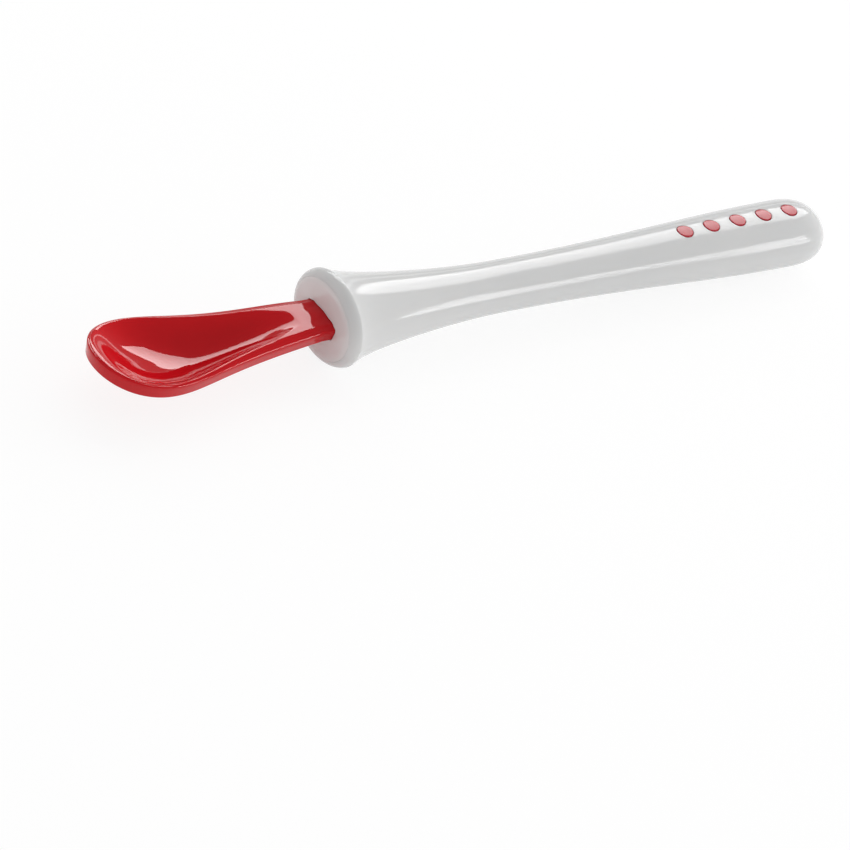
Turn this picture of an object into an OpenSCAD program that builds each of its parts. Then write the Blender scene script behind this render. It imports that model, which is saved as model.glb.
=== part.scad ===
// Baby spoon: a red scoop whose tang is held in a hollow white handle of oval section.
// Every piece is drawn about the handle's axis, with the collar's face at X = 0,
// X towards the tail, Y across and Z up. place() then lays the spoon on a table,
// where it rests on its collar and its tail.

/* [Handle] */
// Length from the collar's face to the end of the tail
handle_l = 104.3; // [90:0.1:125]
// Height of the collar, the thickest section
collar_h = 15; // [14:0.1:18]
// Length of the collar's rounded rim along the handle
rim_l = 2.1; // [1.4:0.1:2.4]
// Width of the collar's rounded rim seen from the front
rim_w = 2.3; // [1.7:0.1:2.5]
// Width of the shell's share of that rim, outside the seam round the cap
seam_in = 1.2; // [0.8:0.1:1.4]
// Height of the waist, the thinnest section
waist_h = 7.9; // [7.4:0.1:10]
// Distance from the collar's face to the waist
waist_at = 36; // [30:0.1:42]
// Height of the tail at its thickest
tail_h = 10.6; // [9:0.1:13]
// Length of the tail's rounded end
tail_end_l = 8.2; // [6.5:0.1:10]
// Width of the oval section as a share of its height
oval_share = 1.206; // [1.1:0.001:1.3]
// Wall of the shell at the waist
shell_wall = 1.6; // [1.2:0.1:1.9]
// Length of the hollow core from the collar's face
core_l = 90; // [60:0.5:92]

/* [Scoop] */
// Length from the collar's face to the tip
scoop_l = 43.6; // [38:0.1:54]
// Width of the stem where it enters the collar
stem_w = 8.2; // [6.5:0.1:9]
// Length of the parallel stem outside the collar
stem_l = 1.6; // [1.5:0.1:3]
// Width of the bowl at its widest
bowl_w = 17; // [14:0.1:20]
// Distance from the collar's face to the bowl's widest section
bowl_at = 32.7; // [28:0.1:36]
// Depth of the bowl below its rim
bowl_depth = 3.8; // [3:0.1:4.6]
// Thickness of the bowl's floor
bowl_wall = 1.6; // [1.2:0.1:2]
// Height of the outer edge that runs round the scoop
edge_h = 2.4; // [1.8:0.1:2.8]
// Height of the edge's top above the axis at the collar
edge_stem_z = 1.2; // [0.8:0.1:1.6]
// Height of the edge's top above the axis at the tip
edge_tip_z = 1.5; // [0.5:0.1:3]
// How far the edge's line is drawn down between collar and tip
edge_sag = 2.3; // [0:0.1:3]
// Width of the sloping lip beside the stem
lip_stem_w = 1.3; // [0.8:0.1:1.6]
// Width of the sloping lip round the bowl
lip_bowl_w = 0.4; // [0.3:0.05:0.8]
// Drop of the lip from its ridge to the outer edge
lip_drop = 0.35; // [0.2:0.05:0.6]
// Length of the flat land between the collar and the trough
land_l = 4.8; // [4:0.1:6]
// Rise of the land's middle above its ridges
land_crown = 0.15; // [0.05:0.05:0.3]

/* [Collar cap] */
// Thickness of the cap's face plate
cap_t = 2; // [1.6:0.1:2.4]
// Length of the cap's spigot behind its plate
spigot_l = 3.5; // [2.5:0.1:4.5]

/* [Seal and tang] */
// Thickness of the soft seal behind the cap
seal_t = 1.5; // [1:0.1:2]
// Width of the seal's ring on either side of the stem
seal_w = 1.65; // [1.4:0.05:1.8]
// Length of the socket that holds the tang
socket_l = 17; // [12:0.5:22]
// Width of the tang
tang_w = 4; // [3:0.1:4.4]
// Height of the tang
tang_h = 2.6; // [2:0.1:2.8]
// Length of the barbed end that snaps behind the socket
barb_l = 2.4; // [1.8:0.1:3]
// Overhang of each barb beyond the tang's side
barb_d = 0.45; // [0.3:0.05:0.5]
// Width of the slit that lets the barbs spring together
slit_w = 1.4; // [1.2:0.1:1.6]
// Length of the slit
slit_l = 11; // [8:0.5:14]

/* [Grip dots] */
// Diameter of each red dot
dot_d = 3; // [2:0.1:3.6]
// Distance between neighbouring dots
dot_pitch = 5.7; // [4:0.1:6.5]
// Distance from the end of the tail to the nearest dot's centre
dot_last_at = 7.5; // [7:0.1:16]
// Depth of the recess that each dot fills
dot_t = 0.7; // [0.5:0.1:1]
// Height that each dot stands proud of the shell
dot_proud = 0.08; // [0.05:0.01:0.2]
// Number of dots
dot_count = 5; // [1:1:6]

/* [Hidden] */

// Clearance of a fixed piece in its seat
fit = 0.05;
// Clearance of the stem in the cap's slot
slot_fit = 0.1;
// Step from the spigot's seat in to the mouth of the core
core_step = 0.5;
// Height of the core's mouth as a share of its width
mouth_share = 0.73;
// Narrowing of the core's wall between the socket and the core's end
core_draft = 0.35;
// Rounding of the scoop's outer edge, top and bottom
edge_r = 0.25;
// Lean of the outer edge inwards from top to bottom
edge_lean = 0.25;
// Share of the collar's flare that is its short outer lip, and the two powers of the flare
flare_lip_share = 0.2;
flare_power = 1.81;
flare_lip_power = 12;
// Powers of the swell towards the tail and of the tail's rounded end
swell_power = 1.22;
tail_power = 2.9;
// Share of the scoop's widening that starts at once beyond the parallel stem
widen_share = 0.42;
// Powers of the scoop's widening and of its rounded end
widen_power = 1.9;
bowl_end_power = 2.08;
// Power of the floor's dive from the land to its deepest place, and the share of the dive
// that its start is softened over
dive_power = 1.5;
dive_soft_share = 0.08;
// Power of the floor's climb from its deepest place to the tip
climb_power = 2;
// Powers of the trough's wall, at the stem and at the tip: of its rise and of its rounded brim
trough_powers = [2, 3.6];
brim_powers = [6, 30];
// Power of the underside's curve from its middle to the edge
under_power = 2.3;
// Width of the trough where it starts beyond the land, as a share of the width between the ridges
brim_share = 0.6;
// The bowl is deepest here, as a share of the distance to its widest section
deep_share = 0.756;
// The middle line starts to close up towards the tip here, as the same share
fan_share = 0.639;
// The trough is open to its full width here, and its wall starts to get its rounder form here,
// as shares of the scoop's length
open_share = 0.28;
round_share = 0.493;
// The lip narrows between these shares of the scoop's length
lip_shares = [0.24, 0.797];

// Where the rounded end of the tail touches the table, as a share of its length
touch_share = 0.14;

// Steps round each circle
$fn = 96;
// Steps along and round the shell
shoulder_n = 3;
rim_n = 6;
flare_n = 16;
swell_n = 12;
tail_n = 12;
oval_n = 48;
// Steps along and across the scoop
stem_n = 26;
tip_n = 14;
trough_n = 10;
under_n = 6;

core_z = cap_t + spigot_l;
socket_x = core_z + seal_t;
socket_end = socket_x + socket_l;
tail_at = handle_l - tail_end_l;
collar_side = oval_share * collar_h / 2;
// Turn of the rim's rounding from the flat face to the seam round the cap
seam_turn = asin(1 - seam_in / rim_w);
// Half widths and half heights of the seats inside the shell
cap_seat = [collar_side - seam_in, collar_h / 2 - seam_in];
core_mouth = [for (share = [1, mouth_share]) share * (stem_w / 2 + seal_w)];
spigot_seat = [for (r = core_mouth) r + core_step];
core_waist = [oval_share * waist_h / 2 - shell_wall, waist_h / 2 - shell_wall];
core_tip = [for (r = core_waist) r - core_draft];

// Eases from 0 to 1 with no slope at either end
function ease(t) = let (c = min(max(t, 0), 1)) c * c * (3 - 2 * c);
function mix(a, b, t) = a + (b - a) * t;

// Half height of the handle's outside at a distance from the collar's face
function flare(t) =
    (1 - flare_lip_share) * pow(1 - t, flare_power) + flare_lip_share * pow(1 - t, flare_lip_power);
function swell(t) = (1 - cos(180 * pow(t, swell_power))) / 2;
function end_round(t) = pow(1 - pow(t, tail_power), 1 / tail_power);
function handle_r(s) =
    s < waist_at
    ? mix(waist_h, collar_h, flare((s - rim_l) / (waist_at - rim_l))) / 2
    : s < tail_at
    ? mix(waist_h, tail_h, swell((s - waist_at) / (tail_at - waist_at))) / 2
    : tail_h / 2 * end_round((s - tail_at) / tail_end_l);

// One ring is [distance from the collar's face, half width, half height]
function outer_ring(s) = [s, oval_share * handle_r(s), handle_r(s)];
function rim_ring(a) =
    let (inset = rim_w * (1 - sin(a)))
    [rim_l * (1 - cos(a)), collar_side - inset, collar_h / 2 - inset];
outer_rings = [
    for (i = [0 : rim_n]) rim_ring(mix(seam_turn, 90, i / rim_n)),
    for (i = [1 : flare_n]) outer_ring(mix(rim_l, waist_at, pow(i / flare_n, flare_power))),
    for (i = [1 : swell_n]) outer_ring(mix(waist_at, tail_at, i / swell_n)),
    for (i = [1 : tail_n - 1]) outer_ring(tail_at + tail_end_l * sin(90 * i / tail_n))
];
inner_rings = [
    concat([core_l], core_tip),
    concat([socket_end], core_waist),
    concat([core_z], core_mouth),
    concat([core_z], spigot_seat),
    concat([cap_t], spigot_seat),
    concat([cap_t], cap_seat)
];

function ring_points(r, n = oval_n) =
    [for (k = [0 : n - 1]) [r[0], r[1] * cos(360 * k / n), r[2] * sin(360 * k / n)]];
function oval(r, n = oval_n) = [for (k = [0 : n - 1]) [r[0] * cos(360 * k / n), r[1] * sin(360 * k / n)]];

// Triangles between ring i and ring i + 1, each of n points
function strip(i, n) = [
    for (k = [0 : n - 1])
    let (a = i * n + k, b = i * n + (k + 1) % n)
    each [[a, a + n, b], [b, a + n, b + n]]
];

// A closed skin over rings of points: flat at its first ring, drawn to a point at its end
module skin_to_point(rings, end) {
    n = len(rings[0]);
    m = len(rings);
    polyhedron(
        points = [for (r = rings) each r, end],
        faces = concat(
            [[for (k = [0 : n - 1]) k]],
            [for (i = [0 : m - 2]) each strip(i, n)],
            [for (k = [0 : n - 1]) [(m - 1) * n + k, m * n, (m - 1) * n + (k + 1) % n]]
        )
    );
}

// The same with two flat ends
module skin(rings) {
    n = len(rings[0]);
    m = len(rings);
    polyhedron(
        points = [for (r = rings) each r],
        faces = concat(
            [[for (k = [0 : n - 1]) k]],
            [for (i = [0 : m - 2]) each strip(i, n)],
            [[for (k = [1 : n]) m * n - k]]
        )
    );
}

// Half width of the scoop, and the height of its edge's top, at a distance x before the collar
function scoop_w(x) =
    let (t = max(x - stem_l, 0) / (bowl_at - stem_l), u = (x - bowl_at) / (scoop_l - bowl_at))
    x < bowl_at
    ? mix(stem_w, bowl_w, widen_share * t * (2 - t)
        + (1 - widen_share) * (1 - cos(180 * pow(t, widen_power))) / 2) / 2
    : bowl_w / 2 * pow(1 - pow(min(u, 1), bowl_end_power), 1 / bowl_end_power);
function edge_z(x) =
    let (s = x / scoop_l, r = 1 - s)
    edge_stem_z * r * r * (r + 3 * s) - edge_sag * 3 * s * s * r + edge_tip_z * s * s * s;
function lip_t(x) = ease((x / scoop_l - lip_shares[0]) / (lip_shares[1] - lip_shares[0]));
function lip_w(x) = mix(lip_stem_w, lip_bowl_w, lip_t(x));
function ridge_z(x) = edge_z(x) + lip_drop * lip_w(x) / lip_stem_w;

// The middle line that the sections fan out from, so that they stay square to the tip
fan_a = fan_share * bowl_at;
fan_b = scoop_l - bowl_w / 2;
fan_power = (scoop_l - fan_a) / (fan_b - fan_a);
function spine_x(x) =
    x < fan_a ? x : mix(fan_b, fan_a, pow((scoop_l - x) / (scoop_l - fan_a), fan_power));

// The floor runs level with the ridges over the land, dives to its deepest place and climbs again
deep_at = deep_share * bowl_at;
climb_end = scoop_l - lip_bowl_w;
function crown(x) = land_crown * (1 - ease(x / land_l));
function dive(x) =
    let (t = (x - land_l) / (deep_at - land_l))
    (1 + dive_soft_share) * t * t / (t + dive_soft_share);
function floor_z(x) =
    let (deep_z = ridge_z(deep_at) - bowl_depth)
    x < land_l
    ? ridge_z(x) + crown(x)
    : x < deep_at
    ? mix(deep_z, ridge_z(land_l), pow(1 - dive(x), dive_power))
    : mix(deep_z, ridge_z(scoop_l), pow(min((x - deep_at) / (climb_end - deep_at), 1), climb_power));
function floor_t(x) =
    mix(edge_h + lip_drop, bowl_wall, ease((x - land_l) / (deep_at - land_l))) + crown(x);

// How far the trough is open to its full width
function opened(x) = ease((x - land_l) / (open_share * scoop_l - land_l));
// Rise of the trough's wall, from 0 on the middle line to 1 at its brim
function wall_rise(t, x) =
    let (
        k = ease((x / scoop_l - round_share) / (1 - round_share)),
        low = mix(trough_powers[0], trough_powers[1], k),
        high = low + mix(brim_powers[0], brim_powers[1], opened(x))
    )
    (pow(t, low) / low - pow(t, high) / high) / (1 / low - 1 / high);

// Half a section, from the middle of the top over the ridge and the edge to the middle below
function half_section(x) = let (
    sx = spine_x(x),
    w = scoop_w(x),
    reach = norm([x - sx, w]),
    lip = lip_w(x),
    ez = edge_z(x),
    rz = ridge_z(x),
    inner = 1 - lip / reach,
    brim = inner * mix(brim_share, 1, opened(x)),
    foot = 1 - (edge_lean + edge_r) / reach
) [
    for (j = [0 : trough_n])
        let (share = inner * j / trough_n, rise = wall_rise(min(share / brim, 1), x))
        section_point(x, sx, w, share, mix(floor_z(mix(sx, x, share)), rz, rise)),
    section_point(x, sx, w, 1 - edge_r / reach, ez),
    section_point(x, sx, w, 1, ez - edge_r),
    section_point(x, sx, w, 1 - edge_lean / reach, ez - edge_h + edge_r),
    for (j = [0 : under_n])
        let (t = 1 - j / under_n, own_x = mix(sx, x, t * foot), low_z = floor_z(own_x) - floor_t(own_x))
        section_point(x, sx, w, t * foot, mix(low_z, ez - edge_h, pow(t, under_power)))
];
function section_point(x, sx, w, share, z) = [-mix(sx, x, share), w * share, z];
function flip(p) = [p[0], -p[1], p[2]];
// A whole section: the far half, then the near half back from the bottom to the top
function section(x) =
    let (h = half_section(x), m = len(h) - 1)
    concat(h, [for (k = [m - 1 : -1 : 1]) flip(h[k])]);
function moved(ring, dx) = [for (p = ring) [p[0] + dx, p[1], p[2]]];

neck_points = section(0);
neck_outline = [for (p = neck_points) [p[1], p[2]]];
neck_z = (ridge_z(0) + land_crown + edge_z(0) - edge_h) / 2;
neck_half_h = (ridge_z(0) + land_crown - edge_z(0) + edge_h) / 2;
slot_outline = [
    for (p = neck_outline)
    [p[0] * (1 + 2 * slot_fit / stem_w), neck_z + (p[1] - neck_z) * (1 + slot_fit / neck_half_h)]
];

// The spoon at rest: collar and tail both touch the table, and the origin is below its middle
touch_at = tail_at + touch_share * tail_end_l;
rest_tilt = atan2(collar_h / 2 - handle_r(touch_at), touch_at - rim_l);
rest_z = collar_h / 2 * cos(rest_tilt) + rim_l * sin(rest_tilt);
low_x = edge_tip_z * sin(rest_tilt) - scoop_l * cos(rest_tilt);
rest_x = -(handle_l * cos(rest_tilt) + low_x) / 2;
module place() {
    translate([rest_x, 0, rest_z])
        rotate([0, rest_tilt, 0])
        children();
}

// Draws an outline given as [across, up] as a plate between two distances from the collar's face
module plate(x0, x1, outline) {
    translate([x0, 0, 0])
        rotate([90, 0, 90])
        linear_extrude(x1 - x0)
        polygon(outline);
}

module scoop() {
    stations = [
        for (i = [0 : stem_n]) bowl_at * i / stem_n,
        for (i = [1 : tip_n - 1]) bowl_at + (scoop_l - bowl_at) * sin(90 * i / tip_n)
    ];
    rings = concat([moved(neck_points, socket_x)], [for (x = stations) section(x)]);
    tip = half_section(scoop_l);
    n = len(neck_points);
    m = len(rings);
    last = (m - 1) * n;
    color("crimson") place() {
        polyhedron(
            points = concat([for (r = rings) each r], tip),
            faces = concat(
                [[for (k = [0 : n - 1]) k]],
                [for (i = [0 : m - 2]) each strip(i, n)],
                [for (k = [0 : n - 1])
                    let (a = k <= n / 2 ? k : n - k, b = k + 1 <= n / 2 ? k + 1 : n - k - 1)
                    each [
                        [last + k, m * n + a, last + (k + 1) % n],
                        [last + (k + 1) % n, m * n + a, m * n + b]
                    ]]
            )
        );
        tang();
    }
}

module tang() {
    tang_l = socket_l + barb_l;
    difference() {
        union() {
            translate([socket_x, -tang_w / 2, -tang_h / 2])
                cube([tang_l, tang_w, tang_h]);
            translate([socket_end + fit, 0, -tang_h / 2])
                linear_extrude(tang_h)
                polygon([
                    [0, -tang_w / 2 - barb_d],
                    [barb_l - fit, -tang_w / 2 + barb_d],
                    [barb_l - fit, tang_w / 2 - barb_d],
                    [0, tang_w / 2 + barb_d]
                ]);
        }
        translate([socket_x + tang_l - slit_l, -slit_w / 2, -tang_h])
            cube([slit_l + barb_l, slit_w, 2 * tang_h]);
    }
}

module collar_cap() {
    shoulder = [for (i = [0 : shoulder_n]) rim_ring(seam_turn * i / shoulder_n)];
    face_rings = concat(shoulder, [concat([cap_t], cap_seat)]);
    color("white") place()
        difference() {
            union() {
                skin([for (r = face_rings) ring_points([r[0], r[1] - fit, r[2] - fit])]);
                plate(cap_t, core_z, oval([for (r = spigot_seat) r - fit]));
            }
            plate(-cap_t, core_z + cap_t, slot_outline);
        }
}

module handle_shell() {
    rings = [for (r = concat(inner_rings, outer_rings)) ring_points(r)];
    color("whitesmoke") place()
        difference() {
            skin_to_point(rings, [handle_l, 0, 0]);
            dots()
                cylinder(h = 2 * dot_t, d = dot_d);
        }
}

// Sets a shape on the top of the handle at each dot, its base one recess depth below the surface
module dots() {
    for (i = [0 : dot_count - 1]) {
        s = handle_l - dot_last_at - i * dot_pitch;
        slope = atan2(handle_r(s + dot_d / 2) - handle_r(s - dot_d / 2), dot_d);
        translate([s, 0, handle_r(s)])
            rotate([0, -slope, 0])
            translate([0, 0, -dot_t])
            children();
    }
}

module grip_dots() {
    crown_r = oval_share * oval_share * tail_h / 2;
    top = dot_t + dot_proud;
    color("indianred") place()
        dots()
        intersection() {
            cylinder(h = top, d = dot_d - 2 * fit);
            translate([-dot_d, 0, top - crown_r])
                rotate([0, 90, 0])
                cylinder(h = 2 * dot_d, r = crown_r);
        }
}

module stem_seal() {
    color("gainsboro") place()
        difference() {
            plate(core_z, socket_x, oval([for (r = core_mouth) r - fit]));
            plate(0, socket_x + cap_t, neck_outline);
        }
}

module tang_socket() {
    // The core's taper carries the socket, which keeps clear of it by one fit
    share = seal_t / (socket_end - core_z);
    front = [for (i = [0 : 1]) mix(core_mouth[i], core_waist[i], share) - fit];
    back = [for (r = core_waist) r - fit];
    color("silver") place()
        difference() {
            hull() {
                plate(socket_x, socket_x + fit, oval(front));
                plate(socket_end - fit, socket_end, oval(back));
            }
            translate([socket_x - cap_t, -tang_w / 2 - fit, -tang_h / 2 - fit])
                cube([socket_l + 2 * cap_t, tang_w + 2 * fit, tang_h + 2 * fit]);
        }
}

scoop();
collar_cap();
handle_shell();
stem_seal();
tang_socket();
grip_dots();
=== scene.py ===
import math

import bmesh
import bpy
from mathutils import Matrix, Vector


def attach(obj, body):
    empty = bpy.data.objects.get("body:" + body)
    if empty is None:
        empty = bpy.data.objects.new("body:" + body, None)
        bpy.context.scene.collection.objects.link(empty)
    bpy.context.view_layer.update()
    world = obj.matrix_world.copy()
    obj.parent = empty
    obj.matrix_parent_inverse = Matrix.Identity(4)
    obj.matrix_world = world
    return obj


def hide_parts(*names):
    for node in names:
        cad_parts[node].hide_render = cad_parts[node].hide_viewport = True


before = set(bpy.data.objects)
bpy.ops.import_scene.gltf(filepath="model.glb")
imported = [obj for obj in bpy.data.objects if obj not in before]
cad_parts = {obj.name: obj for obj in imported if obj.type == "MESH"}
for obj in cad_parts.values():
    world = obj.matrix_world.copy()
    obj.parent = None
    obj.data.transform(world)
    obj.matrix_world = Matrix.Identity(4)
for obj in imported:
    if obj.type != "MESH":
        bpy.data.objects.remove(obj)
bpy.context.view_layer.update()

# Every piece is drawn in millimetres about the handle's axis, with the collar's face at x = 0,
# x towards the tail, y across and z up. PLACE then lays it in the frame, in metres.
MM = 0.001

# Handle
HANDLE_L = 104.3
COLLAR_H = 15.0
RIM_L = 2.1
RIM_W = 2.3
SEAM_IN = 1.2
WAIST_H = 7.9
WAIST_AT = 36.0
TAIL_H = 10.6
TAIL_END_L = 8.2
OVAL_SHARE = 1.206
SHELL_WALL = 1.6
CORE_L = 90.0
CORE_STEP = 0.5
CORE_DRAFT = 0.35
FLARE_LIP_SHARE = 0.2
FLARE_POWER = 1.81
FLARE_LIP_POWER = 12
SWELL_POWER = 1.22
TAIL_POWER = 2.9
TOUCH_SHARE = 0.14

# Scoop
SCOOP_L = 43.6
STEM_W = 8.2
STEM_L = 1.6
BOWL_W = 17.0
BOWL_AT = 32.7
BOWL_DEPTH = 3.8
BOWL_WALL = 1.6
EDGE_H = 2.4
EDGE_STEM_Z = 1.2
EDGE_TIP_Z = 1.5
EDGE_SAG = 2.3
EDGE_R = 0.25
EDGE_LEAN = 0.25
LIP_STEM_W = 1.3
LIP_BOWL_W = 0.4
LIP_DROP = 0.35
LIP_SHARES = (0.24, 0.797)
LAND_L = 4.8
LAND_CROWN = 0.15
WIDEN_SHARE = 0.42
WIDEN_POWER = 1.9
BOWL_END_POWER = 2.08
DIVE_POWER = 1.5
DIVE_SOFT = 0.08
RAMP_POWER = 2.0
TROUGH_POWERS = (2.0, 3.6)
BRIM_POWERS = (6.0, 30.0)
BRIM_SHARE = 0.6
UNDER_POWER = 2.3
DEEP_SHARE = 0.756
OPEN_AT_SHARE = 0.28
ROUND_AT_SHARE = 0.493
FAN_SHARE = 0.639

# Collar cap, seal and tang
CAP_T = 2.0
SPIGOT_L = 3.5
SEAL_T = 1.5
SEAL_W = 1.65
MOUTH_SHARE = 0.73
SOCKET_L = 17.0
TANG_W = 4.0
TANG_H = 2.6
TANG_ROOT_L = 0.5
BARB_L = 2.4
BARB_D = 0.45
SLIT_W = 1.4
SLIT_L = 11.0
FIT = 0.05
SLOT_FIT = 0.1

# Grip dots
DOT_D = 3.0
DOT_PITCH = 5.7
DOT_LAST_AT = 7.5
DOT_T = 0.7
DOT_PROUD = 0.08
DOT_COUNT = 5
DOT_FLAT_SHARES = (0.75, 0.5, 0.25, 0.0)
RECESS_BRIM_SHARE = 0.8

# Small roundings of edges that meet at a seam, and the hair's breadth between them
SEAM_R = 0.07
SEAM_GAP = 0.01
RIDGE_R = 0.2
EDGE_ROUNDS = (0.6, 0.28)
DOT_EDGE_R = 0.12

# Derived places and seats
CORE_Z = CAP_T + SPIGOT_L
SOCKET_X = CORE_Z + SEAL_T
SOCKET_END = SOCKET_X + SOCKET_L
TAIL_AT = HANDLE_L - TAIL_END_L
COLLAR_SIDE = OVAL_SHARE * COLLAR_H / 2
CAP_SEAT = (COLLAR_SIDE - SEAM_IN, COLLAR_H / 2 - SEAM_IN)
SEAM_TURN = math.asin(1 - SEAM_IN / RIM_W)
CORE_MOUTH = (STEM_W / 2 + SEAL_W, MOUTH_SHARE * (STEM_W / 2 + SEAL_W))
SPIGOT_SEAT = tuple(r + CORE_STEP for r in CORE_MOUTH)
CORE_WAIST = (OVAL_SHARE * WAIST_H / 2 - SHELL_WALL, WAIST_H / 2 - SHELL_WALL)
CORE_TIP = tuple(r - CORE_DRAFT for r in CORE_WAIST)
CROWN_R = OVAL_SHARE ** 2 * TAIL_H / 2
FAN_A = FAN_SHARE * BOWL_AT
FAN_B = SCOOP_L - BOWL_W / 2
FAN_POWER = (SCOOP_L - FAN_A) / (FAN_B - FAN_A)
DEEP_AT = DEEP_SHARE * BOWL_AT
OPEN_AT = OPEN_AT_SHARE * SCOOP_L
ROUND_AT = ROUND_AT_SHARE * SCOOP_L

# Mesh steps
OVAL_STEPS = 192
SHOULDER_STEPS = 8
RIM_STEPS = 18
FLARE_STEPS = 70
SWELL_STEPS = 60
TAIL_STEPS = 40
STEM_STEPS = 170
TIP_STEPS = 56
TROUGH_STEPS = 44
TROUGH_GRADING = 1.25
SIDE_STEPS = 3
UNDER_STEPS = 26
ROUND_STEPS = 5
SLIT_STEPS = 8
DOT_STEPS = 72
RIDGE_LINE_STEPS = 192
MERGE_DIST = 1e-4
SLOPE_STEP = 1e-3
SHARP_DEG = 35
OUTSIDE_DEG = 3

# Camera: it looks at the aim point from this azimuth and elevation, rolled about its own axis
CAMERA_AZIMUTH = -45.701
CAMERA_ELEVATION = 38.039
CAMERA_ROLL = 19.570
CAMERA_AIM = (-19.70, -19.61, -0.78)
CAMERA_DISTANCE = 800.66
CAMERA_LENS = 211.80
CAMERA_SENSOR = 36.0
CAMERA_RANGE = (0.01, 100.0)

# Studio. Each light has its azimuth and elevation, the width and height that it fills as angles,
# and its radiance. The gloss mirrors only the softboxes, and only the fills light the colours.
LIGHT_DISTANCE = 1.5
SOFTBOXES = {
    "main_softbox": (139.5, 37, 51, 30, 8.0),
    "strip_softbox": (141, 10, 60, 3, 2.0),
    "tail_softbox": (45.5, 21, 15, 20, 12.0),
}
FILLS = {
    "main_fill": (139.5, 40, 60, 50, 1.05),
    "far_fill": (150, 14, 70, 18, 0.75),
    "tip_fill": (-90, 9, 50, 14, 1.65),
    "side_fill": (62, 16, 80, 30, 1.55),
    "tail_fill": (95, 22, 40, 16, 2.0),
    "near_fill": (0, 7, 110, 14, 0.7),
}
WORLD_LEVEL = 0.4
FLOOR_ALBEDO = 0.95
FLOOR_HALF = 8.0
FLOOR_SHADOW_SHARE = 0.2
FLOOR_WHITE = 1.07

# Detail of the shared effects' noise, and where it turns into clouds, smudges and scratches
WAVE_DETAIL = 1.0
GRAIN_DETAIL = 2.0
CLOUD_DETAIL = 3.0
CLOUD_RANGE = (0.3, 0.7)
SMUDGE_DETAIL = 3.0
SMUDGE_ROUGHNESS = 0.6
SMUDGE_RANGE = (0.45, 0.7)
SCRATCH_DETAIL = 2.0
SCRATCH_RANGE = (0.68, 0.78)
SCRATCH_STRETCH = (0.04, 1.0, 1.0)
SCRATCH_TURN = (0.0, 0.0, 0.12)

# A mix node's sockets for colours, which share their names with others
MIX_FACTOR = 0
MIX_A = 6
MIX_B = 7
MIX_RESULT = 2


def mix(a, b, t):
    return a + (b - a) * t


def ease(t):
    """Goes from 0 to 1 with no slope at either end."""
    c = min(max(t, 0.0), 1.0)
    return c * c * (3 - 2 * c)


# Handle shape

def flare(t):
    r = 1 - t
    return (1 - FLARE_LIP_SHARE) * r ** FLARE_POWER + FLARE_LIP_SHARE * r ** FLARE_LIP_POWER


def handle_r(s):
    """Half height of the handle's outside at a distance from the collar's face."""
    if s < WAIST_AT:
        return mix(WAIST_H, COLLAR_H, flare((s - RIM_L) / (WAIST_AT - RIM_L))) / 2
    if s < TAIL_AT:
        t = (s - WAIST_AT) / (TAIL_AT - WAIST_AT)
        return mix(WAIST_H, TAIL_H, (1 - math.cos(math.pi * t ** SWELL_POWER)) / 2) / 2
    t = min((s - TAIL_AT) / TAIL_END_L, 1.0)
    return TAIL_H / 2 * (1 - t ** TAIL_POWER) ** (1 / TAIL_POWER)


def rest_place():
    """Lays the spoon on the table, where its collar and tail touch, and scales it to metres."""
    touch_at = TAIL_AT + TOUCH_SHARE * TAIL_END_L
    tilt = math.atan2(COLLAR_H / 2 - handle_r(touch_at), touch_at - RIM_L)
    rest_z = COLLAR_H / 2 * math.cos(tilt) + RIM_L * math.sin(tilt)
    low_x = EDGE_TIP_Z * math.sin(tilt) - SCOOP_L * math.cos(tilt)
    rest_x = -(HANDLE_L * math.cos(tilt) + low_x) / 2
    laid = Matrix.Translation((rest_x, 0, rest_z)) @ Matrix.Rotation(tilt, 4, "Y")
    return Matrix.Scale(MM, 4) @ laid


PLACE = rest_place()


def oval(x, radii):
    """A ring of points round the handle's axis, from the top towards the far side."""
    angles = [math.pi / 2 - 2 * math.pi * k / OVAL_STEPS for k in range(OVAL_STEPS)]
    return [(x, radii[0] * math.cos(a), radii[1] * math.sin(a)) for a in angles]


def quarter_rounding(share):
    """Points along this share of a quarter rounding of radius 1, as distances from its sides."""
    angles = [math.pi / 2 * share * k / ROUND_STEPS for k in range(ROUND_STEPS + 1)]
    return [(1 - math.cos(a), 1 - math.sin(a)) for a in angles]


# Meshes

def skin(name, rings, looped=False):
    """A closed mesh of quads between rings. A ring that is all one point closes an end."""
    bm = bmesh.new()
    rows = [[bm.verts.new(p) for p in ring] for ring in rings]
    pairs = list(zip(rows, rows[1:] + rows[:1])) if looped else list(zip(rows, rows[1:]))
    for a, b in pairs:
        n = len(a)
        for k in range(n):
            bm.faces.new((a[k], a[(k + 1) % n], b[(k + 1) % n], b[k]))
    bmesh.ops.remove_doubles(bm, verts=bm.verts, dist=MERGE_DIST)
    bmesh.ops.dissolve_degenerate(bm, edges=bm.edges, dist=MERGE_DIST)
    bmesh.ops.recalc_face_normals(bm, faces=bm.faces)
    mesh = bpy.data.meshes.new(name)
    bm.to_mesh(mesh)
    bm.free()
    return mesh


def smooth(mesh):
    mesh.shade_smooth()
    mesh.set_sharp_from_angle(angle=math.radians(SHARP_DEG))
    return mesh


def shown(name, mesh):
    thing = bpy.data.objects.new(name, mesh)
    bpy.context.scene.collection.objects.link(thing)
    return thing


def evaluated(thing):
    """The mesh of an object with its modifiers applied."""
    graph = bpy.context.evaluated_depsgraph_get()
    return bpy.data.meshes.new_from_object(thing.evaluated_get(graph))


def combined(mesh, tool_mesh, operation):
    """Cuts one closed mesh with another, or joins the two, exactly."""
    body = shown("body", mesh)
    tool = shown("tool", tool_mesh)
    cut = body.modifiers.new("cut", "BOOLEAN")
    cut.operation = operation
    cut.solver = "EXACT"
    cut.object = tool
    result = evaluated(body)
    bpy.data.objects.remove(body)
    bpy.data.objects.remove(tool)
    return result


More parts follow.
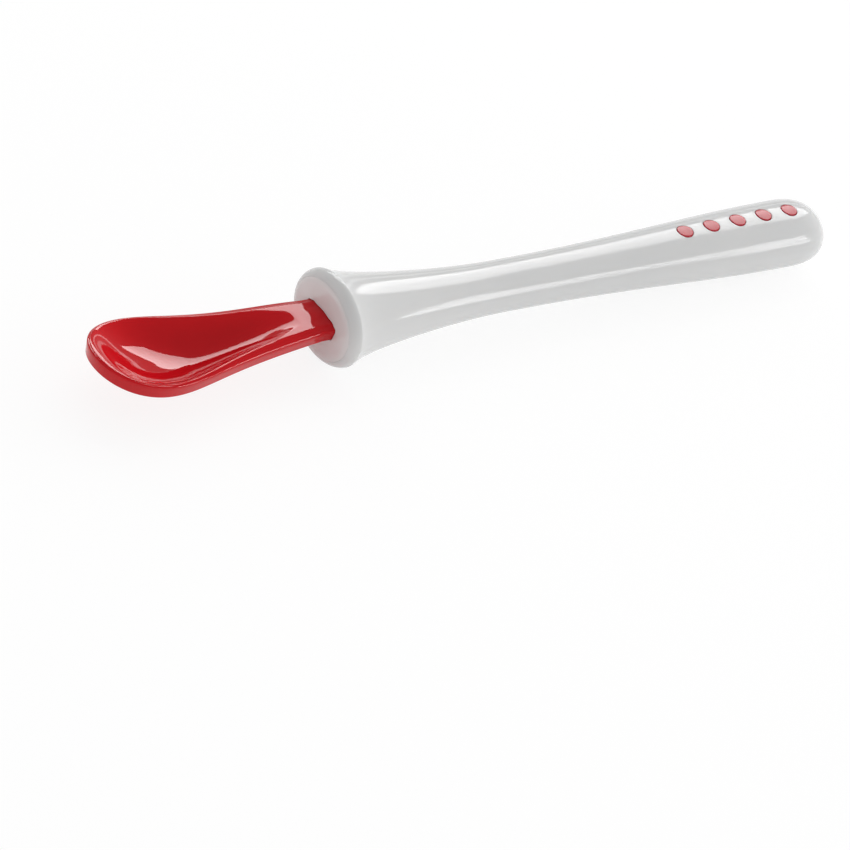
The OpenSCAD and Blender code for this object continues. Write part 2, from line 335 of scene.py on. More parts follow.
def finished(name, mesh, material, node):
    """Lays a drawn piece in the frame, where it stands for its CAD node."""
    mesh.materials.clear()
    mesh.materials.append(material)
    piece = shown(name, mesh)
    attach(piece, "root")
    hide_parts(node)
    return piece


# Scoop

def scoop_w(x):
    """Half width of the scoop at a distance before the collar."""
    if x < BOWL_AT:
        t = max(x - STEM_L, 0.0) / (BOWL_AT - STEM_L)
        late = (1 - math.cos(math.pi * t ** WIDEN_POWER)) / 2
        return mix(STEM_W, BOWL_W, WIDEN_SHARE * t * (2 - t) + (1 - WIDEN_SHARE) * late) / 2
    u = min((x - BOWL_AT) / (SCOOP_L - BOWL_AT), 1.0)
    return BOWL_W / 2 * (1 - u ** BOWL_END_POWER) ** (1 / BOWL_END_POWER)


def edge_z(x):
    """Height of the outer edge's top."""
    s = x / SCOOP_L
    r = 1 - s
    return EDGE_STEM_Z * r * r * (r + 3 * s) - EDGE_SAG * 3 * s * s * r + EDGE_TIP_Z * s ** 3


def lip_t(x):
    return ease((x / SCOOP_L - LIP_SHARES[0]) / (LIP_SHARES[1] - LIP_SHARES[0]))


def lip_w(x):
    return mix(LIP_STEM_W, LIP_BOWL_W, lip_t(x))


def ridge_z(x):
    return edge_z(x) + LIP_DROP * lip_w(x) / LIP_STEM_W


def spine_x(x):
    """Where the section through an edge point leaves the scoop's middle line."""
    if x < FAN_A:
        return x
    return mix(FAN_B, FAN_A, ((SCOOP_L - x) / (SCOOP_L - FAN_A)) ** FAN_POWER)


def crown(x):
    return LAND_CROWN * (1 - ease(x / LAND_L))


def floor_z(x):
    """Height of the trough's middle line: over the land, down into the bowl and up to the tip."""
    deep_z = ridge_z(DEEP_AT) - BOWL_DEPTH
    if x < LAND_L:
        return ridge_z(x) + crown(x)
    if x < DEEP_AT:
        t = (x - LAND_L) / (DEEP_AT - LAND_L)
        soft_t = (1 + DIVE_SOFT) * t * t / (t + DIVE_SOFT)
        return mix(deep_z, ridge_z(LAND_L), (1 - soft_t) ** DIVE_POWER)
    t = min((x - DEEP_AT) / (SCOOP_L - LIP_BOWL_W - DEEP_AT), 1.0)
    return mix(deep_z, ridge_z(SCOOP_L), t ** RAMP_POWER)


def floor_t(x):
    share = ease((x - LAND_L) / (DEEP_AT - LAND_L))
    return mix(EDGE_H + LIP_DROP, BOWL_WALL, share) + crown(x)


def opened(x):
    """How far the trough has opened to its full width, from 0 at the land to 1."""
    return ease((x - LAND_L) / (OPEN_AT - LAND_L))


def wall_rise(t, x):
    """Rise of the trough's wall, from 0 on the middle line to 1 where it runs out at its brim."""
    low = mix(*TROUGH_POWERS, ease((x - ROUND_AT) / (SCOOP_L - ROUND_AT)))
    high = low + mix(*BRIM_POWERS, opened(x))
    return (t ** low / low - t ** high / high) / (1 / low - 1 / high)


def bend(a, corner, b):
    """Points of a rounding that leaves a towards the corner and arrives at b from it."""
    shares = [k / ROUND_STEPS for k in range(ROUND_STEPS + 1)]
    return [
        tuple(mix(mix(p, c, t), mix(c, q, t), t) for p, c, q in zip(a, corner, b)) for t in shares
    ]


def half_section(x):
    """Half a section, as points [distance from the middle line, height], from top to underside."""
    sx = spine_x(x)
    reach = math.hypot(x - sx, scoop_w(x))
    ridge = (reach - lip_w(x), ridge_z(x))
    brim = ridge[0] * mix(BRIM_SHARE, 1.0, opened(x))
    ez = edge_z(x)
    foot_z = ez - EDGE_H
    edge_r = mix(*EDGE_ROUNDS, lip_t(x))
    ridge_r = min(RIDGE_R, (lip_w(x) - edge_r) / 2)

    def trough(d):
        own_x = mix(sx, x, d / reach)
        return (d, mix(floor_z(own_x), ridge[1], wall_rise(min(d / brim, 1.0), x)))

    def under(t):
        d = t * foot[0]
        own_x = mix(sx, x, d / reach)
        return (d, mix(floor_z(own_x) - floor_t(own_x), foot_z, t ** UNDER_POWER))

    lip_end = (reach - edge_r, ez)
    side_top = (reach, ez - edge_r)
    side_low = (reach - EDGE_LEAN, foot_z + EDGE_R)
    foot = (reach - EDGE_LEAN - EDGE_R, foot_z)
    inner = trough(ridge[0] - ridge_r)
    outer_t = ridge_r / (lip_end[0] - ridge[0])
    outer = tuple(mix(p, q, outer_t) for p, q in zip(ridge, lip_end))
    points = [trough(inner[0] * (k / TROUGH_STEPS) ** TROUGH_GRADING) for k in range(TROUGH_STEPS)]
    points += bend(inner, ridge, outer)
    points += bend(lip_end, (reach, ez), side_top)
    for k in range(1, SIDE_STEPS):
        points.append(tuple(mix(p, q, k / SIDE_STEPS) for p, q in zip(side_top, side_low)))
    points += bend(side_low, (reach - EDGE_LEAN, foot_z), foot)
    points += [under(1 - k / UNDER_STEPS) for k in range(1, UNDER_STEPS + 1)]
    return points


def section(x):
    """A whole section of the scoop as a ring, from the middle of the top round by the far side."""
    sx = spine_x(x)
    w = scoop_w(x)
    reach = math.hypot(x - sx, w)
    far = [(-mix(sx, x, d / reach), w * d / reach, z) for d, z in half_section(x)]
    near = [(px, -py, pz) for px, py, pz in far[-2:0:-1]]
    return far + near


def moved(ring, dx):
    return [(x + dx, y, z) for x, y, z in ring]


def gathered(ring):
    """A ring drawn together in its middle, which closes a flat end."""
    middle = tuple(sum(p[i] for p in ring) / len(ring) for i in range(3))
    return [middle] * len(ring)


def tang_mesh():
    """The flat tang with its two barbs and the slit between them, sunk a little into the neck."""
    tang_l = SOCKET_L + BARB_L
    root = SOCKET_X - TANG_ROOT_L
    end = SOCKET_X + tang_l
    side = [
        (root, TANG_W / 2),
        (SOCKET_END + FIT, TANG_W / 2),
        (SOCKET_END + FIT, TANG_W / 2 + BARB_D),
        (end, TANG_W / 2 - BARB_D),
        (end, SLIT_W / 2),
        (end - SLIT_L + SLIT_W / 2, SLIT_W / 2),
    ]
    slit_end = [
        (end - SLIT_L + SLIT_W / 2 * (1 - math.sin(a)), SLIT_W / 2 * math.cos(a))
        for a in [math.pi * k / SLIT_STEPS for k in range(1, SLIT_STEPS // 2)]
    ]
    half = side + slit_end
    outline = half + [(end - SLIT_L, 0.0)] + [(x, -y) for x, y in reversed(half)]
    bm = bmesh.new()
    base = bm.faces.new([bm.verts.new((x, y, -TANG_H / 2)) for x, y in outline])
    grown = bmesh.ops.extrude_face_region(bm, geom=[base])["geom"]
    lifted = [v for v in grown if isinstance(v, bmesh.types.BMVert)]
    bmesh.ops.translate(bm, verts=lifted, vec=(0, 0, TANG_H))
    bmesh.ops.recalc_face_normals(bm, faces=bm.faces)
    mesh = bpy.data.meshes.new("tang")
    bm.to_mesh(mesh)
    bm.free()
    return mesh


def scoop_piece(material):
    stations = [BOWL_AT * k / STEM_STEPS for k in range(STEM_STEPS + 1)]
    quarter = [math.sin(math.pi / 2 * k / TIP_STEPS) for k in range(1, TIP_STEPS + 1)]
    stations += [mix(BOWL_AT, SCOOP_L, q) for q in quarter]
    neck = section(0.0)
    end = moved(neck, SOCKET_X)
    rings = [gathered(end), end, moved(neck, SOCKET_X / 2)] + [section(x) for x in stations]
    mesh = combined(skin("scoop", rings), tang_mesh(), "UNION")
    mesh.transform(PLACE)
    return finished("scoop_moulding", smooth(mesh), material, "scoop")


# Collar cap

def rim_point(turn):
    """A point of the collar's rim: its distance from the face, and in from the widest place."""
    return (RIM_L * (1 - math.cos(turn)), RIM_W * (1 - math.sin(turn)))


def rim_points(start, end, count):
    return [rim_point(mix(start, end, k / count)) for k in range(count + 1)]


def rim_ring(point):
    x, inset = point
    return oval(x, (COLLAR_SIDE - inset, COLLAR_H / 2 - inset))


def even_turns(outline):
    """Where rays from the middle cross an outline, at even turns from the top to the far side."""
    crossings = []
    for k in range(OVAL_STEPS):
        a = math.pi / 2 - 2 * math.pi * k / OVAL_STEPS
        for p, q in zip(outline, outline[1:] + outline[:1]):
            off_p, off_q = (math.cos(a) * z - math.sin(a) * y for y, z in (p, q))
            if off_p == off_q or off_p * off_q > 0:
                continue
            y, z = (mix(m, n, off_p / (off_p - off_q)) for m, n in zip(p, q))
            if y * math.cos(a) + z * math.sin(a) > 0:
                crossings.append((y, z))
                break
    return crossings


def slot_ring(x, grow):
    """The neck's outline with its clearance, at a distance from the collar's face."""
    ring = section(0.0)
    z_mid = (max(p[2] for p in ring) + min(p[2] for p in ring)) / 2
    half_h = max(p[2] for p in ring) - z_mid
    wide = 1 + 2 * (SLOT_FIT + grow) / STEM_W
    high = 1 + (SLOT_FIT + grow) / half_h
    outline = [(y * wide, (z - z_mid) * high) for _, y, z in ring]
    return [(x, y, z_mid + z) for y, z in even_turns(outline)]


def collar_piece(material):
    """The flat oval face plate, its spigot and the slot that the stem passes through."""
    side = SEAM_IN + SEAM_GAP
    spigot = tuple(r - FIT for r in SPIGOT_SEAT)
    shoulder = rim_points(0.0, SEAM_TURN - SEAM_R / RIM_W, SHOULDER_STEPS)
    seam_x = rim_point(SEAM_TURN)[0]
    shoulder += bend(shoulder.pop(), (seam_x, side), (seam_x + SEAM_R, side)) + [(CAP_T, side)]
    rings = [slot_ring(x, grow) for x, grow in bend((SEAM_R, 0.0), (0.0, 0.0), (0.0, SEAM_R))]
    rings += [rim_ring(point) for point in shoulder]
    rings += [oval(CAP_T, spigot), oval(CORE_Z, spigot), slot_ring(CORE_Z, 0.0)]
    mesh = skin("collar", rings, looped=True)
    mesh.transform(PLACE)
    return finished("collar_plate", smooth(mesh), material, "collar_cap")


# Values in node trees

def feed(tree, socket, value):
    """Sets a socket to a number, or links another socket to it."""
    if isinstance(value, (int, float)):
        socket.default_value = value
    else:
        tree.links.new(value, socket)


def calculate(tree, operation, *values):
    node = tree.nodes.new("ShaderNodeMath")
    node.operation = operation
    for socket, value in zip(node.inputs, values):
        feed(tree, socket, value)
    return node.outputs[0]


# Handle shell and its inlaid dots

def turned(name, profile):
    """A closed shape turned about the z axis from a profile of [radius, height] points."""
    angles = [2 * math.pi * k / DOT_STEPS for k in range(DOT_STEPS)]
    return skin(name, [[(r * math.cos(a), r * math.sin(a), z) for a in angles] for r, z in profile])


def dot_profile():
    r = DOT_D / 2 - FIT
    top = DOT_T + DOT_PROUD
    e = DOT_EDGE_R
    rounding = [(r - e * inward, top - e * down) for inward, down in quarter_rounding(1)]
    foot = [(0.0, 0.0), (r / 2, 0.0), (r, 0.0)]
    return foot + rounding + [(r * share, top) for share in DOT_FLAT_SHARES]


def recess_profile():
    """The dot's recess with a rounded brim, carried on above the surface."""
    r = DOT_D / 2
    e = DOT_EDGE_R
    brim = [(r + e * out, DOT_T - e * down) for out, down in quarter_rounding(RECESS_BRIM_SHARE)]
    above_r = brim[-1][0] + e
    above = [(above_r, DOT_T + e), (above_r, 2 * DOT_T), (0.0, 2 * DOT_T)]
    return [(0.0, 0.0), (r, 0.0)] + brim + above


def inlay_tree():
    """Geometry nodes that set a turned shape along a ridge line at even steps, bent to its crown."""
    tree = bpy.data.node_groups.new("inlays_along_ridge", "GeometryNodeTree")
    inputs = {
        "Ridge": "Geometry",
        "Inlay": "Object",
        "Count": "Int",
        "Pitch": "Float",
        "Depth": "Float",
        "Crown Radius": "Float",
        "Material": "Material",
    }
    for label, kind in inputs.items():
        tree.interface.new_socket(label, in_out="INPUT", socket_type="NodeSocket" + kind)
    tree.interface.new_socket("Inlays", in_out="OUTPUT", socket_type="NodeSocketGeometry")
    nodes = tree.nodes
    link = tree.links.new
    given = nodes.new("NodeGroupInput").outputs
    curve = nodes.new("GeometryNodeMeshToCurve")
    link(given["Ridge"], curve.inputs["Mesh"])
    length = nodes.new("GeometryNodeCurveLength")
    link(curve.outputs["Curve"], length.inputs["Curve"])
    spots = nodes.new("GeometryNodeMeshLine")
    link(given["Count"], spots.inputs["Count"])
    index = nodes.new("GeometryNodeInputIndex").outputs[0]
    back = calculate(tree, "MULTIPLY", index, given["Pitch"])
    along = calculate(tree, "SUBTRACT", length.outputs[0], back)
    sample = nodes.new("GeometryNodeSampleCurve")
    sample.mode = "LENGTH"
    link(curve.outputs["Curve"], sample.inputs["Curves"])
    link(along, sample.inputs["Length"])
    put = nodes.new("GeometryNodeSetPosition")
    link(spots.outputs["Mesh"], put.inputs["Geometry"])
    link(sample.outputs["Position"], put.inputs["Position"])
    turn = nodes.new("FunctionNodeAlignRotationToVector")
    turn.axis = "X"
    turn.pivot_axis = "Y"
    link(sample.outputs["Tangent"], turn.inputs["Vector"])

    source = nodes.new("GeometryNodeObjectInfo")
    link(given["Inlay"], source.inputs["Object"])
    place = nodes.new("GeometryNodeInputPosition")
    parts = nodes.new("ShaderNodeSeparateXYZ")
    link(place.outputs[0], parts.inputs[0])
    squared = calculate(tree, "MULTIPLY", parts.outputs["Y"], parts.outputs["Y"])
    sag = calculate(tree, "DIVIDE", calculate(tree, "DIVIDE", squared, -2), given["Crown Radius"])
    offset = nodes.new("ShaderNodeCombineXYZ")
    link(calculate(tree, "SUBTRACT", sag, given["Depth"]), offset.inputs["Z"])
    bent = nodes.new("GeometryNodeSetPosition")
    link(source.outputs["Geometry"], bent.inputs["Geometry"])
    link(offset.outputs[0], bent.inputs["Offset"])

    copies = nodes.new("GeometryNodeInstanceOnPoints")
    link(put.outputs["Geometry"], copies.inputs["Points"])
    link(bent.outputs["Geometry"], copies.inputs["Instance"])
    link(turn.outputs["Rotation"], copies.inputs["Rotation"])
    real = nodes.new("GeometryNodeRealizeInstances")
    link(copies.outputs["Instances"], real.inputs["Geometry"])
    paint = nodes.new("GeometryNodeSetMaterial")
    link(real.outputs["Geometry"], paint.inputs["Geometry"])
    link(given["Material"], paint.inputs["Material"])
    result = nodes.new("NodeGroupOutput")
    link(paint.outputs["Geometry"], result.inputs["Inlays"])
    return tree


def inlays(name, tree, template, material):
    """Runs the inlay tree along the handle's top and returns one mesh of all the copies."""
    last = HANDLE_L - DOT_LAST_AT
    first = last - DOT_COUNT * DOT_PITCH
    stations = [mix(first, last, k / RIDGE_LINE_STEPS) for k in range(RIDGE_LINE_STEPS + 1)]
    ridge = bpy.data.meshes.new(name)
    edges = [(k, k + 1) for k in range(RIDGE_LINE_STEPS)]
    ridge.from_pydata([(s, 0, handle_r(s)) for s in stations], edges, [])
    carrier = shown(name, ridge)
    pattern = shown(name + "_template", template)
    step = carrier.modifiers.new("inlays", "NODES")
    step.node_group = tree
    values = {
        "Inlay": pattern,
        "Count": DOT_COUNT,
        "Pitch": DOT_PITCH,
        "Depth": DOT_T,
        "Crown Radius": CROWN_R,
        "Material": material,
    }
    for item in tree.interface.items_tree:
        if item.name in values:
            step[item.identifier] = values[item.name]
    carrier.update_tag()
    mesh = evaluated(carrier)
    bpy.data.objects.remove(carrier)
    bpy.data.objects.remove(pattern)
    return mesh


def shell_rings():
    """Rings of the handle's skin: out of the core, round the rim and along the outside."""
    inside = [(CORE_L, (0.0, 0.0)), (CORE_L, CORE_TIP), (SOCKET_END, CORE_WAIST)]
    inside += [(CORE_Z, CORE_MOUTH), (CORE_Z, SPIGOT_SEAT), (CAP_T, SPIGOT_SEAT), (CAP_T, CAP_SEAT)]
    rim = rim_points(SEAM_TURN + SEAM_R / RIM_W, math.pi / 2, RIM_STEPS)
    seam_x = rim_point(SEAM_TURN)[0]
    rim = bend((seam_x + SEAM_R, SEAM_IN), (seam_x, SEAM_IN), rim[0]) + rim[1:]
    flare_shares = [(k / FLARE_STEPS) ** FLARE_POWER for k in range(1, FLARE_STEPS + 1)]
    swell_shares = [k / SWELL_STEPS for k in range(1, SWELL_STEPS + 1)]
    tail_shares = [math.sin(math.pi / 2 * k / TAIL_STEPS) for k in range(1, TAIL_STEPS + 1)]
    stations = [mix(RIM_L, WAIST_AT, share) for share in flare_shares]
    stations += [mix(WAIST_AT, TAIL_AT, share) for share in swell_shares]
    stations += [TAIL_AT + TAIL_END_L * share for share in tail_shares]
    outside = [(s, (OVAL_SHARE * handle_r(s), handle_r(s))) for s in stations]
    skin_rings = [oval(x, radii) for x, radii in inside] + [rim_ring(point) for point in rim]
    return skin_rings + [oval(x, radii) for x, radii in outside]


def outside_normal(point):
    """The outside's own direction at a point of the handle."""
    s = point.x
    slope = (handle_r(s + SLOPE_STEP) - handle_r(s - SLOPE_STEP)) / (2 * SLOPE_STEP)
    return Vector((-handle_r(s) * slope, point.y / OVAL_SHARE ** 2, point.z)).normalized()


def true_normals(mesh):
    """Gives the outside round the recesses its own normals, which the cuts would disturb."""
    zone = HANDLE_L - DOT_LAST_AT - DOT_COUNT * DOT_PITCH
    least = math.cos(math.radians(OUTSIDE_DEG))
    normals = [Vector(n.vector) for n in mesh.corner_normals]
    for face in mesh.polygons:
        centre = face.center
        if not zone < centre.x < TAIL_AT + TAIL_END_L / 2:
            continue
        gap = math.hypot(centre.y / OVAL_SHARE, centre.z) - handle_r(centre.x)
        if abs(gap) > FIT / 2 or face.normal.dot(outside_normal(centre)) < least:
            continue
        for corner in face.loop_indices:
            normals[corner] = outside_normal(mesh.vertices[mesh.loops[corner].vertex_index].co)
    mesh.normals_split_custom_set(normals)
    return mesh


def handle_piece(tree, material):
    cutters = inlays("recess", tree, turned("recess", recess_profile()), material)
    mesh = combined(skin("handle", shell_rings()), cutters, "DIFFERENCE")
    mesh = true_normals(smooth(mesh))
    mesh.transform(PLACE)
    return finished("handle_moulding", mesh, material, "handle_shell")


def dots_piece(tree, material):
    mesh = inlays("dots", tree, turned("dot", dot_profile()), material)
    mesh.transform(PLACE)
    return finished("grip_inlays", smooth(mesh), material, "grip_dots")


# Shared effects, as shader groups that give out masks, colours and heights

def effect(name, inputs, output, output_kind):
    """An empty shader group with a Position input, its named inputs and one output."""
    tree = bpy.data.node_groups.new(name, "ShaderNodeTree")
    tree.interface.new_socket("Position", in_out="INPUT", socket_type="NodeSocketVector")
    for label, value in inputs.items():
        kind = "NodeSocketFloat" if isinstance(value, float) else "NodeSocketColor"
        tree.interface.new_socket(label, in_out="INPUT", socket_type=kind).default_value = value
    tree.interface.new_socket(output, in_out="OUTPUT", socket_type=output_kind)
    given = tree.nodes.new("NodeGroupInput").outputs
    result = tree.nodes.new("NodeGroupOutput").inputs
    return tree, given, result


def noise(tree, position, size, detail, roughness=0.5):
    """Noise whose features are about as large as size, in metres."""
    node = tree.nodes.new("ShaderNodeTexNoise")
    node.inputs["Detail"].default_value = detail
    node.inputs["Roughness"].default_value = roughness
    tree.links.new(position, node.inputs["Vector"])
    tree.links.new(calculate(tree, "DIVIDE", 1.0, size), node.inputs["Scale"])
    return node.outputs["Fac"]


def ramped(tree, value, source, target):
    """Carries a value softly from one range, as a pair of ends, to another."""
    node = tree.nodes.new("ShaderNodeMapRange")
    node.interpolation_type = "SMOOTHSTEP"
    labels = ("Value", "From Min", "From Max", "To Min", "To Max")
    for label, given in zip(labels, (value, *source, *target)):
        feed(tree, node.inputs[label], given)
    return node.outputs[0]


def moulding_relief():
    """Height of a moulded surface: slow waves where it shrank, and its polish's fine grain."""
    inputs = {"Wave Size": 0.012, "Grain Size": 0.0006, "Grain Share": 0.1}
    tree, given, result = effect("moulding_relief", inputs, "Height", "NodeSocketFloat")
    waves = noise(tree, given["Position"], given["Wave Size"], WAVE_DETAIL)
    grain = noise(tree, given["Position"], given["Grain Size"], GRAIN_DETAIL)
    height = calculate(tree, "MULTIPLY_ADD", grain, given["Grain Share"], waves)
    tree.links.new(height, result["Height"])
    return tree


def handling_wear():
    """Roughness of a handled surface: clean, with faint smudges and fine long scratches."""
    inputs = {
        "Clean": 0.08,
        "Smudged": 0.14,
        "Smudge Size": 0.015,
        "Scratch Size": 0.0004,
        "Scratches": 0.3,
    }
    tree, given, result = effect("handling_wear", inputs, "Roughness", "NodeSocketFloat")
    position = given["Position"]
    smears = noise(tree, position, given["Smudge Size"], SMUDGE_DETAIL, SMUDGE_ROUGHNESS)
    smudges = ramped(tree, smears, SMUDGE_RANGE, (0.0, 1.0))
    drawn = tree.nodes.new("ShaderNodeMapping")
    drawn.inputs["Scale"].default_value = SCRATCH_STRETCH
    drawn.inputs["Rotation"].default_value = SCRATCH_TURN
    tree.links.new(position, drawn.inputs["Vector"])
    streaks = noise(tree, drawn.outputs[0], given["Scratch Size"], SCRATCH_DETAIL)
    lines = ramped(tree, streaks, SCRATCH_RANGE, (0.0, 1.0))
    scratches = calculate(tree, "MULTIPLY", lines, given["Scratches"])
    wear = calculate(tree, "MAXIMUM", smudges, scratches)
    roughness = ramped(tree, wear, (0.0, 1.0), (given["Clean"], given["Smudged"]))
    tree.links.new(roughness, result["Roughness"])
    return tree


def tone(base, cloud, size, share):
    """Values for a plastic's colour: its own one, and a cloud of another of this size and share."""
    return {"Base": (*base, 1), "Cloud": (*cloud, 1), "Cloud Size": size, "Cloud Share": share}


def plastic_tone():
    """Colour of a pigmented plastic: its own colour, clouded a little by a second one."""
    inputs = tone((0.8, 0.8, 0.8), (0.7, 0.7, 0.7), size=0.02, share=0.5)
    tree, given, result = effect("plastic_tone", inputs, "Color", "NodeSocketColor")
    mottle = noise(tree, given["Position"], given["Cloud Size"], CLOUD_DETAIL)
    clouds = ramped(tree, mottle, CLOUD_RANGE, (0.0, given["Cloud Share"]))
    blend = tree.nodes.new("ShaderNodeMix")
    blend.data_type = "RGBA"
    tree.links.new(clouds, blend.inputs[MIX_FACTOR])
    tree.links.new(given["Base"], blend.inputs[MIX_A])
    tree.links.new(given["Cloud"], blend.inputs[MIX_B])
    tree.links.new(blend.outputs[MIX_RESULT], result["Color"])
    return tree


EFFECTS = {"relief": moulding_relief(), "wear": handling_wear(), "tone": plastic_tone()}


def plastic(name, colours, wear, relief, bump_mm, shader):
    """A moulded plastic: colours, wear and relief are its values for the shared effects."""
    material = bpy.data.materials.new(name)
    material.use_nodes = True
    tree = material.node_tree
    principled = tree.nodes["Principled BSDF"]
    position = tree.nodes.new("ShaderNodeTexCoord").outputs["Object"]

    def placed(kind, values):
        node = tree.nodes.new("ShaderNodeGroup")
        node.node_tree = EFFECTS[kind]
        tree.links.new(position, node.inputs["Position"])
        for label, value in values.items():
            node.inputs[label].default_value = value
        return node.outputs[0]

    tree.links.new(placed("tone", colours), principled.inputs["Base Color"])
    tree.links.new(placed("wear", wear), principled.inputs["Roughness"])
    bump = tree.nodes.new("ShaderNodeBump")
    bump.inputs["Strength"].default_value = 1.0
    bump.inputs["Distance"].default_value = bump_mm * MM
    tree.links.new(placed("relief", relief), bump.inputs["Height"])
    tree.links.new(bump.outputs[0], principled.inputs["Normal"])
    for label, value in shader.items():
        principled.inputs[label].default_value = value
    return material


def polished_red():
    return plastic(
        "polished_red",
        tone((0.68, 0.004, 0.010), (0.60, 0.003, 0.008), size=0.012, share=0.6),
        {"Clean": 0.05, "Smudged": 0.09, "Smudge Size": 0.010, "Scratches": 0.35},
        {"Wave Size": 0.008, "Grain Size": 0.0005, "Grain Share": 0.02},
        0.01,
        {"IOR": 1.46, "Specular IOR Level": 0.3},
    )


def polished_white():
    return plastic(
        "polished_white",
        tone((0.80, 0.80, 0.795), (0.77, 0.775, 0.775), size=0.02, share=0.7),
        {"Clean": 0.10, "Smudged": 0.15, "Smudge Size": 0.016, "Scratches": 0.4},
        {"Wave Size": 0.012, "Grain Size": 0.0006, "Grain Share": 0.02},
        0.012,
        {
            "IOR": 1.5,
            "Specular IOR Level": 0.17,
            "Subsurface Weight": 0.15,
            "Subsurface Scale": 0.001,
            "Subsurface Radius": (1.0, 0.9, 0.8),
        },
    )


def satin_white():
    return plastic(
        "satin_white",
        tone((0.84, 0.825, 0.82), (0.81, 0.795, 0.79), size=0.01, share=0.6),
        {"Clean": 0.12, "Smudged": 0.18, "Smudge Size": 0.008, "Scratches": 0.3},
        {"Wave Size": 0.006, "Grain Size": 0.0004, "Grain Share": 0.25},
        0.01,
        {"IOR": 1.5},
    )


def inlay_red():
    return plastic(
        "inlay_red",
        tone((0.52, 0.02, 0.035), (0.42, 0.012, 0.022), size=0.002, share=0.5),
        {"Clean": 0.14, "Smudged": 0.24, "Smudge Size": 0.003, "Scratches": 0.4},
        {"Wave Size": 0.002, "Grain Size": 0.0003, "Grain Share": 0.1},
        0.006,
        {"IOR": 1.5, "Specular IOR Level": 0.2},
    )


def silicone():
    return plastic(
        "silicone",
        tone((0.60, 0.60, 0.58), (0.54, 0.54, 0.52), size=0.004, share=0.5),
        {"Clean": 0.55, "Smudged": 0.7, "Smudge Size": 0.004, "Scratches": 0.1},
        {"Wave Size": 0.003, "Grain Size": 0.0003, "Grain Share": 0.3},
        0.02,
        {"IOR": 1.41, "Subsurface Weight": 0.3, "Subsurface Scale": 0.001},
    )


def socket_plastic():
    return plastic(
        "socket_plastic",
        tone((0.70, 0.70, 0.69), (0.64, 0.64, 0.63), size=0.005, share=0.5),
        {"Clean": 0.4, "Smudged": 0.5, "Smudge Size": 0.005, "Scratches": 0.3},
        {"Wave Size": 0.004, "Grain Size": 0.0003, "Grain Share": 0.3},
        0.02,
        {"IOR": 1.5},
    )


def dress_node(name, material):
    """Gives a CAD node that stays its own material."""
    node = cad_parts[name]
    node.data.materials.clear()
    node.data.materials.append(material)


# Stage

def direction(azimuth, elevation):
    """From the origin towards an azimuth, 0 on the near side and 90 at the tail, and an elevation."""
    a = math.radians(azimuth)
    e = math.radians(elevation)
    return Vector((math.sin(a) * math.cos(e), -math.cos(a) * math.cos(e), math.sin(e)))


def camera():
    back = direction(CAMERA_AZIMUTH, CAMERA_ELEVATION)
    level = Vector((-back.y, back.x, 0)).normalized()
    above = back.cross(level)
    roll = math.radians(CAMERA_ROLL)
    right = level * math.cos(roll) + above * math.sin(roll)
    up = above * math.cos(roll) - level * math.sin(roll)
    data = bpy.data.cameras.new("camera")
    data.lens = CAMERA_LENS
    data.sensor_width = CAMERA_SENSOR
    data.clip_start, data.clip_end = CAMERA_RANGE
    eye = bpy.data.objects.new("camera", data)
    place = Matrix((right, up, back)).transposed().to_4x4()
    place.translation = (Vector(CAMERA_AIM) + back * CAMERA_DISTANCE) * MM
    eye.matrix_world = place
    bpy.context.scene.collection.objects.link(eye)
    bpy.context.scene.camera = eye


def light(name, measures, mirrored):
    """A rectangular light that faces the spoon, either mirrored in the gloss or for the colours."""
    azimuth, elevation, width_deg, height_deg, radiance = measures
    size = [2 * LIGHT_DISTANCE * math.tan(math.radians(w / 2)) for w in (width_deg, height_deg)]
    data = bpy.data.lights.new(name, "AREA")
    data.shape = "RECTANGLE"
    data.size, data.size_y = size
    data.energy = radiance * math.pi * size[0] * size[1]
    lamp = bpy.data.objects.new(name, data)
    towards = direction(azimuth, elevation)
    lamp.location = towards * LIGHT_DISTANCE
    lamp.rotation_euler = towards.to_track_quat("Z", "Y").to_euler()
    lamp.visible_camera = False
    lamp.visible_glossy = mirrored
    lamp.visible_diffuse = not mirrored
    bpy.context.scene.collection.objects.link(lamp)


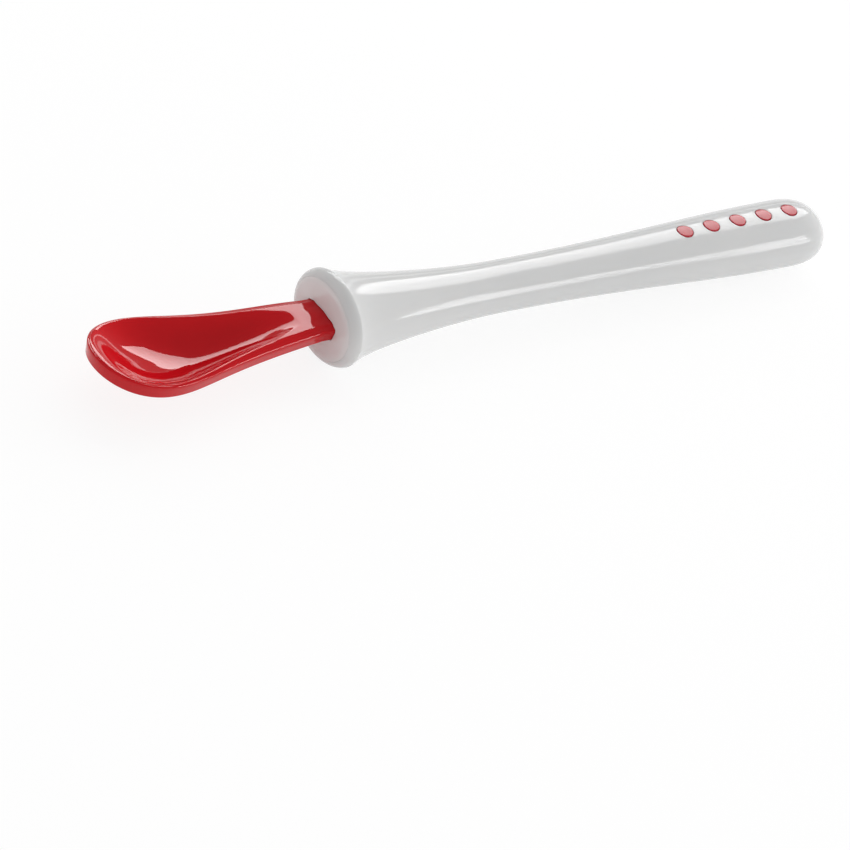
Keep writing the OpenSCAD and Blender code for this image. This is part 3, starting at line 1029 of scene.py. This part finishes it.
def studio():
    for name, measures in SOFTBOXES.items():
        light(name, measures, mirrored=True)
    for name, measures in FILLS.items():
        light(name, measures, mirrored=False)
    world = bpy.data.worlds.new("studio")
    world.use_nodes = True
    world.node_tree.nodes["Background"].inputs["Color"].default_value = (1, 1, 1, 1)
    world.node_tree.nodes["Background"].inputs["Strength"].default_value = WORLD_LEVEL
    bpy.context.scene.world = world


def floor():
    """A white table that keeps its shadow. The camera and the gloss see it lifted to white."""
    bm = bmesh.new()
    corners = [(-1, -1), (1, -1), (1, 1), (-1, 1)]
    bm.faces.new([bm.verts.new((x * FLOOR_HALF, y * FLOOR_HALF, 0)) for x, y in corners])
    mesh = bpy.data.meshes.new("table")
    bm.to_mesh(mesh)
    bm.free()
    material = bpy.data.materials.new("table_white")
    material.use_nodes = True
    tree = material.node_tree
    tree.nodes.clear()
    path = tree.nodes.new("ShaderNodeLightPath").outputs
    seen = calculate(tree, "MAXIMUM", path["Is Camera Ray"], path["Is Glossy Ray"])
    seen = calculate(tree, "MAXIMUM", seen, path["Is Transmission Ray"])
    plain = tree.nodes.new("ShaderNodeBsdfDiffuse")
    plain.inputs["Color"].default_value = (FLOOR_ALBEDO, FLOOR_ALBEDO, FLOOR_ALBEDO, 1)
    white = tree.nodes.new("ShaderNodeEmission")
    white.inputs["Strength"].default_value = FLOOR_WHITE
    shaded = tree.nodes.new("ShaderNodeMixShader")
    shaded.inputs["Fac"].default_value = 1 - FLOOR_SHADOW_SHARE
    tree.links.new(plain.outputs[0], shaded.inputs[1])
    tree.links.new(white.outputs[0], shaded.inputs[2])
    chosen = tree.nodes.new("ShaderNodeMixShader")
    tree.links.new(seen, chosen.inputs["Fac"])
    tree.links.new(plain.outputs[0], chosen.inputs[1])
    tree.links.new(shaded.outputs[0], chosen.inputs[2])
    output = tree.nodes.new("ShaderNodeOutputMaterial")
    tree.links.new(chosen.outputs[0], output.inputs["Surface"])
    mesh.materials.append(material)
    shown("table", mesh)


camera()
studio()
floor()
bpy.context.scene.view_settings.view_transform = "Standard"

ridge_inlays = inlay_tree()
scoop_piece(polished_red())
collar_piece(satin_white())
handle_piece(ridge_inlays, polished_white())
dots_piece(ridge_inlays, inlay_red())
dress_node("stem_seal", silicone())
dress_node("tang_socket", socket_plastic())
